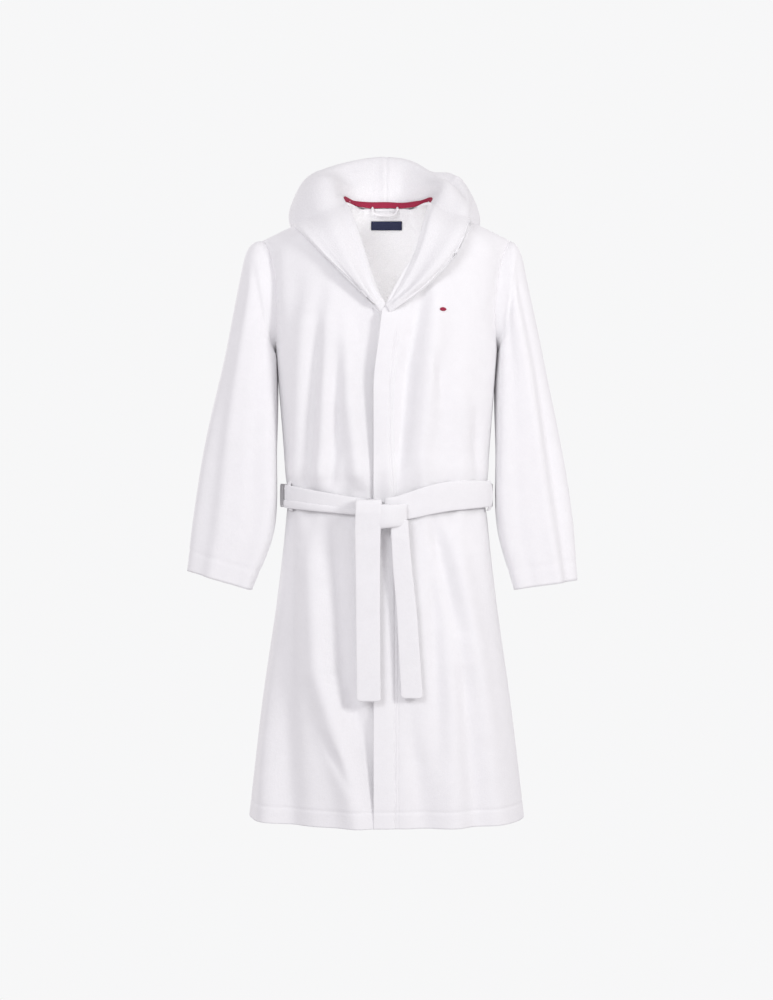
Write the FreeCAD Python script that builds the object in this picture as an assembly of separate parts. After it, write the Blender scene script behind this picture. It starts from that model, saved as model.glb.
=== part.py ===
import FreeCAD, Part
import math
import os

# Hooded towelling bathrobe, size L, hanging as if worn, belt tied.
# Millimetres, +Z up, the fronts face -Y, the wearer's left is +X.
# The origin is the middle of the back neck seam, where the hanging loop is sewn.

# Driving dimensions
CLOTH = 4.0                 # thickness of the towelling
HEM_Z = -1190.0             # lower edge of the skirt
WAIST_Z = -577.0            # middle of the belt
CENTRE_Y = -70.0            # middle of the torso, front to back
ROUND = 2.3                 # exponent of the torso's oval section
OVER = 10.0                 # the over front stands this far off the torso
NECK_HALF = 80.0            # half the width of the neck opening
SHOULDER_HALF = 239.0       # half the width between the armhole seams
SHOULDER_DROP = 76.0        # fall of the shoulder seam from neck to armhole
RIDGE = 75.0                # height over which a shoulder closes front to back
VEE_Z = -226.0              # height where the two fronts cross
VEE_X = 4.0                 # distance of a neckline from the middle there
OVER_EDGE_X = -15.0         # free edge of the over front
UNDER_EDGE_X = 62.0         # free edge of the under front
SPLIT_Z = -633.0            # bodice and skirt part here, under the belt
SEAM_GAP = 0.6              # clearance between cuts of cloth at a seam
HEM_HEIGHT = 32.0           # turned hem of the skirt
BAND_WIDTH = 46.0           # facing along each free edge
FOLD_TOP_Z = -700.0         # the fold line of the free corner starts here
FOLD_HEM_X = 185.0          # and meets the hem here
FOLD_GAP = 3.0              # clearance on each side of the fold line
BELT_WIDTH = 46.0
BELT_CLOTH = 4.0
BELT_END_Y = -222.0         # back face of the hanging belt ends
BELT_END_TOP_Z = -644.0
RIGHT_END_Z = -952.0
LEFT_END_Z = -941.0
BELT_CORNER = 6.0           # radius of the corners of a belt end
KNOT_LOOP = (-62.0, -6.0, -229.0, -204.5, -616.0, -534.0)   # box of the loop: x, y and z ranges
KNOT_ROLL = (-12.0, 36.0, -228.0, -206.0, -641.0, -608.0)   # and of the roll under it
KNOT_ROUND = 8.0
BELT_GAP = 2.0              # between the robe and the belt loops
BELT_LOOP = (9.0, 66.0, 10.0, 2.0)      # width, height, reach from the side seam, thickness
LOOP_AT = (-30.0, -11.0, -21.0)         # low corner of the hanging loop
LOOP_SIZE = (54.0, 3.0, 16.0)           # its width, thickness and drop
LOOP_STRIP = 5.5                        # width of its strip
EMBLEM = (104.0, -226.0, 13.0, 9.0, 1.0)    # x, z, width, height and thickness
CUFF_HEM = 38.0             # turned hem of a sleeve
HOOD_GAP = 0.5              # half the clearance at the hood's middle seam
RIDGE_GAP = 4.5             # each side of a shoulder seam stays this far from its middle
UNDERARM_Z = -291.0         # top of the side seam
TRIM_GAP = 0.8              # clearance between the cloth and what is sewn on it
LAPEL_TOP = -12.0       # height of the lapel's upper end
LAPEL_PAST = 6.0        # how far its lower end stops short of the crossing
LAPEL_WIDE = 76.0       # extra width at the shoulder end
LAPEL_NARROW = 8.0      # width at the crossing
LAPEL_FALL = 20.0       # drop from the neck seam to the rim
LAPEL_ROLL = 16.0       # height of the roll
LAPEL_AWAY = 2.0        # gap to the front below it
HOOD_HEM = (1.2, 2.3)       # the hood's turned hem, as places along its path

# Torso outline: height, half width, half depth
TORSO = [
    (20.0, 249.0, 60.0),
    (-76.0, 240.0, 98.0),
    (-114.0, 229.0, 107.0),
    (-191.0, 215.0, 118.0),
    (-287.0, 209.5, 126.0),
    (-352.0, 204.5, 125.0),
    (-465.0, 195.0, 119.0),
    (-577.0, 192.0, 117.0),
    (-770.0, 211.0, 128.0),
    (-963.0, 237.0, 137.0),
    (-1190.0, 264.0, 146.0),
]

# Sleeve sections: outer edge x, z, inner edge x, z, half depth, middle y
SLEEVE = [
    (243.0, -80.0, 223.0, -291.0, 58.0, -70.0),
    (264.0, -98.0, 223.0, -303.0, 62.0, -70.0),
    (285.0, -165.0, 222.0, -320.0, 65.0, -71.0),
    (305.0, -290.0, 220.0, -358.0, 66.0, -73.0),
    (336.0, -450.0, 216.0, -468.0, 65.0, -76.0),
    (358.0, -600.0, 217.0, -622.0, 61.0, -80.0),
    (371.0, -733.0, 249.0, -750.0, 55.0, -86.0),
]

# Hood, cut along the middle seam: y, z from the neck seam over the crest and down the back
HOOD_MIDDLE = [(5.0, 7.0), (14.0, 45.0), (34.0, 82.0), (62.0, 96.0),
               (95.0, 62.0), (112.0, -10.0), (108.0, -90.0), (92.0, -140.0)]
# The same path at the shoulder: x, y, z
HOOD_SIDE = [(76.0, -30.0, 9.0), (92.0, -27.0, 34.0), (110.0, -25.0, 50.0), (130.0, -23.0, 52.0),
             (150.0, -20.0, 36.0), (163.0, -15.0, 8.0), (162.0, -8.0, -14.0), (156.0, 0.0, -25.0)]


def smooth_between(rows, z, column):
    """Value of a column at height z, eased through the listed rows by Hermite cubics."""
    if z >= rows[0][0]:
        return rows[0][column]
    last = len(rows) - 1
    if z <= rows[last][0]:
        return rows[last][column]
    i = 0
    while rows[i + 1][0] > z:
        i += 1
    def slope(k):
        a = max(0, k - 1)
        b = min(last, k + 1)
        return (rows[b][column] - rows[a][column]) / (rows[b][0] - rows[a][0])
    span = rows[i + 1][0] - rows[i][0]
    t = (z - rows[i][0]) / span
    p0 = rows[i][column]
    p1 = rows[i + 1][column]
    m0 = slope(i) * span
    m1 = slope(i + 1) * span
    return ((2 * t**3 - 3 * t**2 + 1) * p0 + (t**3 - 2 * t**2 + t) * m0
            + (3 * t**2 - 2 * t**3) * p1 + (t**3 - t**2) * m1)


def half_width(z):
    return smooth_between(TORSO, z, 1)


def half_depth(z):
    return smooth_between(TORSO, z, 2)


def ease(t):
    """0 below 0, 1 above 1, smooth between."""
    t = min(1.0, max(0.0, t))
    return t * t * (3.0 - 2.0 * t)


def shoulder_z(x):
    """Height of the shoulder seam, and of the neck seam between the shoulders."""
    return -2.0 - max(0.0, abs(x) - NECK_HALF) / (SHOULDER_HALF - NECK_HALF) * SHOULDER_DROP


def closing(x, z):
    """1 on the body, falling to nearly 0 at the shoulder ridge, where front and back meet."""
    rise = min(1.0, max(0.0, (z - shoulder_z(x) + RIDGE) / RIDGE))
    ridge = math.sqrt(max(0.0, 1.0 - 0.998 * rise * rise))
    on_shoulder = ease((abs(x) - 55.0) / 40.0)
    return 1.0 - on_shoulder * (1.0 - ridge)


def torso_y(x, z, off, side):
    """Y of the torso's oval at x, z, off millimetres outside it; side is -1 in front, 1 behind."""
    a = half_width(z) + off
    b = half_depth(z) + off
    share = min(1.0, abs(x) / a)
    return CENTRE_Y + side * b * (1.0 - share**ROUND)**(1.0 / ROUND) * closing(x, z)


def angle_of(x, z, off):
    """Angle on the oval, 0 at +X and pi at -X, whose point has this x."""
    share = max(-1.0, min(1.0, x / (half_width(z) + off)))
    return math.acos(math.copysign(abs(share)**(ROUND / 2.0), share))


def x_of(angle, z, off):
    c = math.cos(angle)
    return (half_width(z) + off) * math.copysign(abs(c)**(2.0 / ROUND), c)


def net_surface(grid):
    """Smooth surface of degree 2 drawn by a net of points, which it never overshoots."""
    knots = []
    mults = []
    for count in (len(grid), len(grid[0])):
        degree = min(2, count - 1)
        spans = count - degree
        knots.append([float(k) for k in range(spans + 1)])
        mults.append([degree + 1] + [1] * (spans - 1) + [degree + 1])
    surface = Part.BSplineSurface()
    surface.buildFromPolesMultsKnots(grid, mults[0], mults[1], knots[0], knots[1], False, False,
                                     min(2, len(grid) - 1), min(2, len(grid[0]) - 1))
    return surface


def panel(inner, thickness):
    """Closed solid between a grid of points and the same grid moved along its normals."""
    rows = len(inner)
    cols = len(inner[0])
    outer = []
    for i in range(rows):
        line = []
        for j in range(cols):
            du = inner[min(rows - 1, i + 1)][j].sub(inner[max(0, i - 1)][j])
            dv = inner[i][min(cols - 1, j + 1)].sub(inner[i][max(0, j - 1)])
            n = du.cross(dv)
            n.normalize()
            line.append(inner[i][j].add(n.multiply(thickness)))
        outer.append(line)
    nets = [inner, outer]
    for end in (0, -1):
        nets.append([inner[end], outer[end]])
        nets.append([[row[end] for row in inner], [row[end] for row in outer]])
    faces = [net_surface(net).toShape() for net in nets]
    shell = Part.makeShell(faces)
    shell.sewShape()
    solid = Part.makeSolid(shell)
    if solid.Volume < 0:
        solid.reverse()
    return solid


def steps(a, b, count):
    return [a + (b - a) * i / (count - 1) for i in range(count)]


def cloth(z_low, z_high, edge_a, edge_b, off, side, count_z=12, count_x=13, thickness=CLOTH):
    """Torso panel between two edges given as x of z; side is -1 in front and 1 behind."""
    grid = []
    for z in steps(z_low, z_high, count_z):
        start = angle_of(edge_a(z), z, off)
        stop = angle_of(edge_b(z), z, off)
        line = []
        for angle in steps(start, stop, count_x):
            x = x_of(angle, z, off)
            line.append(FreeCAD.Vector(x, torso_y(x, z, off, side), z))
        grid.append(line)
    return panel(grid, thickness)


def neck_x(z):
    """Distance of a front neckline from the middle, from the shoulder down to the crossing."""
    t = min(1.0, max(0.0, z / VEE_Z))
    return NECK_HALF + (VEE_X - NECK_HALF) * t**0.9


def over_edge(z):
    """Free edge of the over front, x of z."""
    if z > VEE_Z:
        return neck_x(z)
    return OVER_EDGE_X + (VEE_X - OVER_EDGE_X) * ease((z - VEE_Z + 150.0) / 150.0)


def under_edge(z):
    """Free edge of the under front, x of z, hidden below the crossing."""
    if z > VEE_Z:
        return -neck_x(z)
    return -VEE_X + (UNDER_EDGE_X + VEE_X) * ease((VEE_Z - z) / 300.0)


def fold_x(z):
    """Fold line of the free corner, x of z."""
    return OVER_EDGE_X + (FOLD_HEM_X - OVER_EDGE_X) * (FOLD_TOP_Z - z) / (FOLD_TOP_Z - HEM_Z)


def side_x(sign, off=0.0):
    return lambda z: sign * (half_width(z) + off) * 0.9999


def upright(sign):
    """Front from waist to shoulder as one grid; sign is 1 on the wearer's left."""
    off = OVER if sign > 0 else 0.0
    edge = over_edge if sign > 0 else under_edge
    grid = []
    for v in steps(0.0, 1.0, 21):
        line = []
        for u in steps(0.0, 1.0, 15):
            x_top = sign * (SHOULDER_HALF + (NECK_HALF - SHOULDER_HALF) * u)
            z = SPLIT_Z + (shoulder_z(x_top) - SPLIT_Z) * v
            # above the underarm the side edge leaves room for the arm
            free = ease((z - UNDERARM_Z) / 40.0)
            side = sign * (half_width(z) + off) * (0.9999 - 0.045 * free)
            start = angle_of(side, z, off)
            stop = angle_of(edge(z), z, off)
            x = x_of(start + (stop - start) * u, z, off)
            rise = ease((z - UNDERARM_Z) / (shoulder_z(x_top) - UNDERARM_Z))
            x = x + (x_top - x) * rise * rise
            y = min(torso_y(x, z, off, -1), CENTRE_Y - RIDGE_GAP)
            line.append(FreeCAD.Vector(x, y, z))
        grid.append(line)
    return panel(grid, CLOTH if sign < 0 else -CLOTH)


def back_grid():
    """Outer face of the back from hem to shoulders and neck."""
    grid = []
    for v in steps(0.0, 1.0, 25):
        line = []
        for u in steps(0.0, 1.0, 29):
            x_top = SHOULDER_HALF * (1.0 - 2.0 * u)
            z = HEM_Z + (shoulder_z(x_top) - HEM_Z) * v
            free = ease((z - UNDERARM_Z) / 40.0)
            side = half_width(z) * (0.9999 - 0.045 * free)
            start = angle_of(side, z, 0.0)
            x = x_of(start + (math.pi - 2.0 * start) * u, z, 0.0)
            rise = ease((z - UNDERARM_Z) / (shoulder_z(x_top) - UNDERARM_Z))
            x = x + (x_top - x) * rise * rise
            y = max(torso_y(x, z, 0.0, 1), CENTRE_Y + RIDGE_GAP)
            line.append(FreeCAD.Vector(x, y, z))
        grid.append(line)
    return grid


def sleeve_frame(k, sign):
    """Middle, unit vector across, unit vector along, and half width of sleeve section k."""
    xo, zo, xi, zi, depth, y = SLEEVE[k]
    outer = FreeCAD.Vector(sign * xo, y, zo)
    inner = FreeCAD.Vector(sign * xi, y, zi)
    across = outer.sub(inner)
    half = across.Length / 2.0
    across.normalize()
    along = FreeCAD.Vector(across.z * sign, 0, -across.x * sign)
    return outer.add(inner).multiply(0.5), across, along, half


def oval(middle, across, half, depth, count):
    """Points round an oval, open by a seam's width on the side away from across."""
    points = []
    slit = SEAM_GAP / (half + depth)
    for a in steps(-math.pi + slit, math.pi - slit, count):
        point = middle.add(FreeCAD.Vector(across).multiply(half * math.cos(a)))
        points.append(point.add(FreeCAD.Vector(0, depth * math.sin(a), 0)))
    return points


def sleeve(sign):
    """One cut of cloth wrapped round the arm, its seam underneath."""
    grid = []
    for k in range(len(SLEEVE)):
        middle, across, along, half = sleeve_frame(k, sign)
        grid.append(oval(middle, across, half - CLOTH, SLEEVE[k][4] - CLOTH, 21))
    return panel(grid, -sign * CLOTH)


def sleeve_hem(sign):
    """Turned cloth inside the cuff."""
    middle, across, along, half = sleeve_frame(len(SLEEVE) - 1, sign)
    depth = SLEEVE[-1][4]
    inset = 2.0 * CLOTH + 1.0
    grid = []
    for rise in (CUFF_HEM, CUFF_HEM / 2.0, 1.0):
        ring = middle.sub(FreeCAD.Vector(along).multiply(rise))
        grid.append(oval(ring, across, half - inset, depth - inset, 21))
    return panel(grid, -sign * (CLOTH - 1.0))


def hood_grid(sign):
    """Inner face of half the lowered hood: neck seam, crest, and the bag behind the shoulders."""
    grid = []
    for u in steps(0.0, 1.0, 7):
        turn = u * math.pi / 2.0
        line = []
        for (my, mz), (sx, sy, sz) in zip(HOOD_MIDDLE, HOOD_SIDE):
            x = HOOD_GAP + (sx - HOOD_GAP) * math.sin(turn)
            y = sy + (my - sy) * math.cos(turn)
            z = sz + (mz - sz) * math.cos(turn)**2
            line.append(FreeCAD.Vector(sign * x, y, z))
        grid.append(line)
    return grid


def hood_edge():
    """Turned hem of the hood's opening, lying inside the crest from side to side."""
    grid = []
    for sign in (-1, 1):
        face = net_surface(hood_grid(sign))
        wide = face.bounds()[1]
        places = steps(0.0, wide, 9)
        for u in (reversed(places) if sign < 0 else places):
            line = []
            for v in steps(HOOD_HEM[0], HOOD_HEM[1], 5):
                away = face.normal(u, v).multiply(-sign * TRIM_GAP)
                line.append(face.value(u, v).add(away))
            grid.append(line)
    return panel(grid, -(CLOTH - 1.0))


def lapel(sign):
    """Front end of the hood, rolled open along the neckline from the shoulder to the crossing."""
    base = CLOTH + (OVER + LAPEL_AWAY if sign > 0 else LAPEL_AWAY)
    grid = []
    for s in steps(0.0, 1.0, 9):
        z_neck = LAPEL_TOP + (VEE_Z - LAPEL_TOP + LAPEL_PAST) * s
        x_neck = neck_x(z_neck) + LAPEL_AWAY
        x_rim = x_neck + LAPEL_WIDE * (1.0 - s)**0.8 + LAPEL_NARROW
        z_rim = z_neck - LAPEL_FALL
        line = []
        for r in steps(0.0, 1.0, 5):
            x = x_neck + (x_rim - x_neck) * r
            z = z_neck + (z_rim - z_neck) * r
            roll = base + LAPEL_ROLL * math.sin(math.pi * r) * (1.0 - 0.6 * s)
            y = torso_y(x, z, 0.0, -1) - roll
            line.append(FreeCAD.Vector(sign * x, y, z))
        grid.append(line)
    return panel(grid, -sign * CLOTH)


def back_trim(face, x_a, x_b, z_low, z_high, thickness, count_x):
    """Trim sewn flat on the inner side of the back, between two x and two z."""
    grid = []
    for z in steps(z_low, z_high, 3):
        line = []
        for x in steps(x_a, x_b, count_x):
            u, v = face.parameter(FreeCAD.Vector(x, torso_y(x, z, 0.0, 1), z))
            inward = face.normal(u, v)
            line.append(face.value(u, v).add(inward.multiply(CLOTH + TRIM_GAP)))
        grid.append(line)
    return panel(grid, -thickness)


def emblem():
    """Small stitched patch lying along the over front at the chest."""
    x, z, width, height, thickness = EMBLEM
    off = OVER + thickness + 0.7
    reach = 5.0
    rise = torso_y(x + reach, z, off, -1) - torso_y(x - reach, z, off, -1)
    slope = math.degrees(math.atan2(rise, 2.0 * reach))
    box = Part.makeBox(width, thickness, height)
    box.translate(FreeCAD.Vector(-width / 2, -thickness / 2, -height / 2))
    box.rotate(FreeCAD.Vector(0, 0, 0), FreeCAD.Vector(0, 0, 1), slope)
    box.translate(FreeCAD.Vector(x, torso_y(x, z, off, -1), z))
    return box


def hanging_loop():
    """Narrow tube of cloth, both ends under the neck tape, hanging as a flat U."""
    x, y, z = LOOP_AT
    width, thickness, drop = LOOP_SIZE
    leg = LOOP_STRIP
    outer = Part.makeBox(width, thickness, drop, FreeCAD.Vector(x, y, z))
    inner = Part.makeBox(width - 2.0 * leg, thickness + 2.0, drop - leg + 0.5,
                         FreeCAD.Vector(x + leg, y - 1.0, z + leg))
    top = Part.makeBox(width, thickness, 0.5 * leg, FreeCAD.Vector(x, y, z + drop - 0.5 * leg))
    return outer.cut(inner).fuse(top).removeSplitter()


def belt_span(x_a, x_b, off, side, lift_a=0.0, lift_b=0.0):
    """Belt round the waist between two x positions, each end lifted by its own amount."""
    grid = []
    for h in (-BELT_WIDTH / 2.0, 0.0, BELT_WIDTH / 2.0):
        line = []
        start = angle_of(x_a, WAIST_Z, off)
        stop = angle_of(x_b, WAIST_Z, off)
        for t in steps(0.0, 1.0, 13):
            x = x_of(start + (stop - start) * t, WAIST_Z, off)
            z = WAIST_Z + h + lift_a + (lift_b - lift_a) * t
            line.append(FreeCAD.Vector(x, torso_y(x, WAIST_Z, off, side), z))
        grid.append(line)
    return grid


def rounded_box(x0, x1, y0, y1, z0, z1, radius):
    box = Part.makeBox(x1 - x0, y1 - y0, z1 - z0, FreeCAD.Vector(x0, y0, z0))
    return box.makeFillet(radius, box.Edges)


def belt_knot():
    """Square knot: an upright loop over the belt, and the roll below it."""
    return rounded_box(*KNOT_LOOP, KNOT_ROUND).fuse(rounded_box(*KNOT_ROLL, KNOT_ROUND))


def belt_end(top_a, top_b, low_a, low_b, z_top, z_low):
    """Hanging end of the belt, a flat strip with its lower corners rounded."""
    corners = [FreeCAD.Vector(top_a, BELT_END_Y, z_top), FreeCAD.Vector(top_b, BELT_END_Y, z_top),
               FreeCAD.Vector(low_b, BELT_END_Y, z_low), FreeCAD.Vector(low_a, BELT_END_Y, z_low)]
    face = Part.Face(Part.makePolygon(corners + [corners[0]]))
    strip = face.extrude(FreeCAD.Vector(0, -BELT_CLOTH, 0))
    low = [e for e in strip.Edges if e.Length < BELT_CLOTH + 0.1 and e.CenterOfMass.z < z_low + 20]
    return strip.makeFillet(BELT_CORNER, low)


def belt_loop(sign):
    """Loop at the side seam: an upright strip with its two ends turned in to the seam."""
    near = half_width(WAIST_Z) + BELT_GAP + (OVER if sign > 0 else 0.0)
    wide, tall, reach, wall = BELT_LOOP
    body = Part.makeBox(reach, wide, tall, FreeCAD.Vector(near, CENTRE_Y - wide / 2, WAIST_Z - tall / 2))
    room = tall - 12.0
    gap = Part.makeBox(reach - wall + 1.0, wide + 2.0, room,
                       FreeCAD.Vector(near - 1.0, CENTRE_Y - wide / 2 - 1.0, WAIST_Z - room / 2))
    shape = body.cut(gap)
    if sign < 0:
        shape = shape.mirror(FreeCAD.Vector(0, 0, 0), FreeCAD.Vector(1, 0, 0))
    return shape


def build():
    nodes = {}
    skirt_top = SPLIT_Z - SEAM_GAP
    hem_top = HEM_Z + HEM_HEIGHT
    inner = -(CLOTH + SEAM_GAP)
    face = net_surface(back_grid())
    nodes["back_panel"] = panel(back_grid(), CLOTH)
    nodes["right_front_bodice"] = upright(-1)
    nodes["left_front_bodice"] = upright(1)
    nodes["right_front_skirt"] = cloth(HEM_Z, skirt_top, side_x(-1), under_edge, 0.0, -1)
    nodes["left_front_skirt_side"] = cloth(
        HEM_Z, skirt_top, lambda z: max(fold_x(z) + FOLD_GAP, OVER_EDGE_X), side_x(1, OVER),
        OVER, -1, count_z=15)
    nodes["left_front_skirt_corner"] = cloth(
        HEM_Z, FOLD_TOP_Z - 25.0, over_edge, lambda z: fold_x(z) - FOLD_GAP, OVER, -1)
    nodes["right_front_band"] = cloth(
        HEM_Z + 2.0, VEE_Z - 20.0, lambda z: under_edge(z) - BAND_WIDTH, under_edge,
        inner - 1.0, -1, count_z=34, count_x=6)
    nodes["left_front_band_upper"] = cloth(
        FOLD_TOP_Z + 2.0, VEE_Z - 20.0, over_edge, lambda z: over_edge(z) + BAND_WIDTH,
        OVER + inner, -1, count_z=20, count_x=6)
    nodes["left_front_band_lower"] = cloth(
        HEM_Z + 2.0, FOLD_TOP_Z - 40.0, over_edge,
        lambda z: min(OVER_EDGE_X + BAND_WIDTH, fold_x(z) - FOLD_GAP), OVER + inner, -1,
        count_z=12, count_x=4)
    nodes["back_hem"] = cloth(HEM_Z + 2.0, hem_top, side_x(1, inner), side_x(-1, inner), inner, 1,
                              count_z=3, count_x=15, thickness=CLOTH)
    nodes["right_front_hem"] = cloth(
        HEM_Z + 2.0, hem_top, side_x(-1, inner), lambda z: under_edge(z) - BAND_WIDTH - 1.0,
        inner, -1, count_z=3)
    nodes["left_front_hem_side"] = cloth(
        HEM_Z + 2.0, hem_top, lambda z: fold_x(z) + FOLD_GAP, side_x(1, OVER + inner),
        OVER + inner, -1, count_z=3)
    nodes["left_front_hem_corner"] = cloth(
        HEM_Z + 2.0, hem_top, lambda z: OVER_EDGE_X + BAND_WIDTH + 1.0,
        lambda z: fold_x(z) - FOLD_GAP, OVER + inner, -1, count_z=3)
    for sign, name in ((1, "left"), (-1, "right")):
        nodes[name + "_sleeve"] = sleeve(sign)
        nodes[name + "_sleeve_hem"] = sleeve_hem(sign)
        nodes["hood_" + name + "_half"] = panel(hood_grid(sign), sign * CLOTH)
        nodes[name + "_lapel"] = lapel(sign)
        nodes["belt_loop_" + name] = belt_loop(sign)
    nodes["hood_edge_hem"] = hood_edge()
    nodes["neck_tape"] = back_trim(face, -72.0, 72.0, -14.0, -4.0, 2.0, 25)
    nodes["hanging_loop"] = hanging_loop()
    nodes["main_label"] = back_trim(face, -30.0, 30.0, -44.0, -28.0, 1.0, 9)
    nodes["size_tab"] = back_trim(face, 49.5, 58.5, -111.0, -97.0, 1.0, 3)
    nodes["chest_emblem"] = emblem()
    belt_off = BELT_CLOTH + 1.5
    nodes["belt_back_span"] = panel(
        belt_span(196.0, -196.0, belt_off + 2.0, 1, 6.0, 6.0), BELT_CLOTH)
    nodes["belt_right_span"] = panel(belt_span(-196.0, -66.0, belt_off, -1, 6.0, -2.0), BELT_CLOTH)
    nodes["belt_left_span"] = panel(
        belt_span(-4.0, 205.0, OVER + belt_off, -1, -2.0, 6.0), BELT_CLOTH)
    nodes["belt_knot"] = belt_knot()
    nodes["belt_right_end"] = belt_end(-60.0, -18.0, -56.0, -17.5, BELT_END_TOP_Z + 26.0, RIGHT_END_Z)
    nodes["belt_left_end"] = belt_end(3.0, 31.0, 25.0, 64.0, BELT_END_TOP_Z, LEFT_END_Z)
    return nodes


os.makedirs("parts", exist_ok=True)
for node_name, shape in build().items():
    solids = shape.Solids
    print(node_name, "solids", len(solids), "valid", shape.isValid(), "volume", round(shape.Volume),
          [round(v) for v in (shape.BoundBox.XMin, shape.BoundBox.XMax, shape.BoundBox.YMin,
                              shape.BoundBox.YMax, shape.BoundBox.ZMin, shape.BoundBox.ZMax)])
    if len(solids) == 1:
        shape = solids[0]
    shape.exportStep("parts/" + node_name + ".step")
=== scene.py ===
import math
import bpy
import numpy as np
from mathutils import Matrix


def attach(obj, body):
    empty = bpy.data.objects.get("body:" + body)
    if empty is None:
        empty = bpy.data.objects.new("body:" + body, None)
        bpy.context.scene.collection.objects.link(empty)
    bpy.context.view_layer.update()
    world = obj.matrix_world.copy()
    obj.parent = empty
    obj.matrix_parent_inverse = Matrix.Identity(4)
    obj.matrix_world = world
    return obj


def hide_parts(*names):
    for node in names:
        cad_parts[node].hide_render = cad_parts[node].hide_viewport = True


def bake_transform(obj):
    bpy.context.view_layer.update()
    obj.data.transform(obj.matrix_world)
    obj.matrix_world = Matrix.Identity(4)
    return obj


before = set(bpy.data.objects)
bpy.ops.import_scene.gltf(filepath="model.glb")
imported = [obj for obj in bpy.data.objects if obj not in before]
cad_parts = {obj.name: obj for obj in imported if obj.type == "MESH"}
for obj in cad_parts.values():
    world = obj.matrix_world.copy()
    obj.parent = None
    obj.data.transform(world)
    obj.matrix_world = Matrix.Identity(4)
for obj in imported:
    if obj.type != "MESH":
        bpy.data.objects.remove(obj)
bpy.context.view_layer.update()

print("frame loaded")

# the wearer's right is -x, the fronts face -y, metres, origin at the back neck seam
robe = {
    "cloth": 0.0042,          # thickness of the towelling
    "hemZ": -1.181,           # lower edge of the skirt
    "waistZ": -0.577,         # middle of the belt
    "centreY": -0.070,        # middle of the torso, front to back
    "round": 2.3,             # exponent of the torso's oval
    "neckHalf": 0.080,
    "shoulderHalf": 0.241,
    "shoulderDrop": 0.076,
    "ridge": 0.075,           # height over which a shoulder closes
    "underarmZ": -0.291,
    "veeX": -0.010,           # where the necklines cross
    "veeZ": -0.222,
    "overEdgeX": -0.024,      # free edge of the over front at the belt
    "underEdgeX": 0.060,
    "over": 0.0075,           # the over front stands this far off the torso
}

# height, half width, half depth of the torso
torsoRows = np.array([
    (0.020, 0.249, 0.060), (-0.076, 0.240, 0.098), (-0.114, 0.230, 0.107), (-0.191, 0.218, 0.118),
    (-0.287, 0.213, 0.126), (-0.352, 0.208, 0.125), (-0.465, 0.199, 0.120), (-0.577, 0.191, 0.114),
    (-0.650, 0.197, 0.120), (-0.770, 0.211, 0.128), (-0.963, 0.238, 0.137), (-1.181, 0.264, 0.146)])


def easedRows(rows, z, column):
    # value of a column at height z, eased between the listed rows by Hermite cubics
    h = -rows[:, 0]
    v = rows[:, column]
    m = np.gradient(v, h)
    t = np.clip(-z, h[0], h[-1])
    i = np.clip(np.searchsorted(h, t) - 1, 0, len(h) - 2)
    d = h[i + 1] - h[i]
    s = (t - h[i]) / d
    return ((2*s**3 - 3*s**2 + 1) * v[i] + (s**3 - 2*s**2 + s) * m[i] * d
            + (3*s**2 - 2*s**3) * v[i + 1] + (s**3 - s**2) * m[i + 1] * d)


def halfWidth(z):
    # from the middle of the torso to its side
    return easedRows(torsoRows, z, 1)


def halfDepth(z):
    # from the middle of the torso to its front
    return easedRows(torsoRows, z, 2)


def ease(t):
    # 0 to 1 with flat ends: 3t^2 - 2t^3
    t = np.clip(t, 0.0, 1.0)
    return t * t * (3 - 2 * t)


def shoulderZ(x):
    # height of the shoulder line: level to the neck, then a straight slope
    slope = robe["shoulderDrop"] / (robe["shoulderHalf"] - robe["neckHalf"])
    return -0.002 - np.maximum(0, np.abs(x) - robe["neckHalf"]) * slope


def angleOf(x, z, off):
    # angle round the torso's oval, 0 at the left side, pi at the right
    share = np.clip(x / (halfWidth(z) + off), -1, 1)
    return np.arccos(np.sign(share) * np.abs(share)**(robe["round"] / 2))


def xOf(angle, z, off):
    # x on the oval at an angle, the inverse of angleOf
    c = np.cos(angle)
    return (halfWidth(z) + off) * np.sign(c) * np.abs(c)**(2 / robe["round"])


def ovalY(x, z, off, side):
    # y of the torso's oval at x, z; side is -1 in front, 1 behind
    a = halfWidth(z) + off
    b = halfDepth(z) + off
    share = np.minimum(1, np.abs(x) / a)
    return side * b * (1 - share**robe["round"])**(1 / robe["round"])


def gridNormals(p):
    # cross product of the steps along rows and columns, made unit length
    du = np.gradient(p, axis=0)
    dv = np.gradient(p, axis=1)
    n = np.cross(du, dv)
    return n / np.maximum(1e-9, np.linalg.norm(n, axis=2, keepdims=True))


def makeGrid(name, p, flip=False, wrap=False):
    # quads over a grid of points; wrap joins the last column to the first
    rows, cols = p.shape[:2]
    index = np.arange(rows * cols).reshape(rows, cols)
    if wrap:
        index = np.concatenate([index, index[:, :1]], axis=1)
    a, b = index[:-1, :-1], index[:-1, 1:]
    c, d = index[1:, 1:], index[1:, :-1]
    quads = np.stack([a, b, c, d] if not flip else [a, d, c, b], axis=-1).reshape(-1, 4)
    mesh = bpy.data.meshes.new(name)
    mesh.vertices.add(rows * cols)
    mesh.vertices.foreach_set("co", p.reshape(-1).astype(np.float32))
    mesh.loops.add(quads.size)
    mesh.loops.foreach_set("vertex_index", quads.reshape(-1).astype(np.int32))
    mesh.polygons.add(len(quads))
    mesh.polygons.foreach_set("loop_start", (np.arange(len(quads)) * 4).astype(np.int32))
    mesh.polygons.foreach_set("use_smooth", np.ones(len(quads), dtype=bool))
    mesh.update(calc_edges=True)
    mesh.validate()
    obj = bpy.data.objects.new(name, mesh)
    bpy.context.scene.collection.objects.link(obj)
    return obj


def outward(p, want):
    # unit normals of a grid turned to agree with want, and whether its quads need turning
    n = gridNormals(p)
    agree = np.sum(n * want) > 0
    return (n if agree else -n), bool(agree)


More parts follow.
